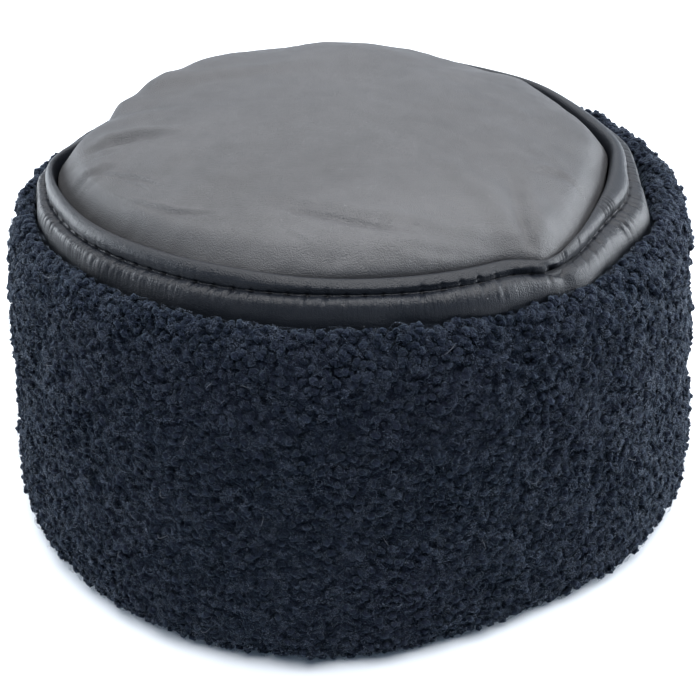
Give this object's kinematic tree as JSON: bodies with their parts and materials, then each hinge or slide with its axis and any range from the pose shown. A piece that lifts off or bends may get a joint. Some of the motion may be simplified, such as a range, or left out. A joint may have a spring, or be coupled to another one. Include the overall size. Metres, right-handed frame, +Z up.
{
  "type": "kubanka",
  "caption": "Black kubanka: a low oval hat with a curly sheepskin band and a soft domed leather crown set in with a topstitched welt.",
  "frame": {"origin": "centre of the hat's box, on the ground that the fleece band stands on", "axes": "+X along the long axis of the oval, to the right in the picture; -Y toward the picture's camera; +Z up through the crown"},
  "size_m": [0.2271, 0.2061, 0.1241],
  "materials": {
    "fleece": "curly matte pile",
    "hide": "napped suede",
    "strip_leather": "soft satin",
    "crown_leather": "soft satin"
  },
  "bodies": {
    "root": {"fleece_band": "fleece", "band_hide": "hide", "crown_side_strip": "strip_leather", "crown_panel": "crown_leather"}
  },
  "joints": []
}
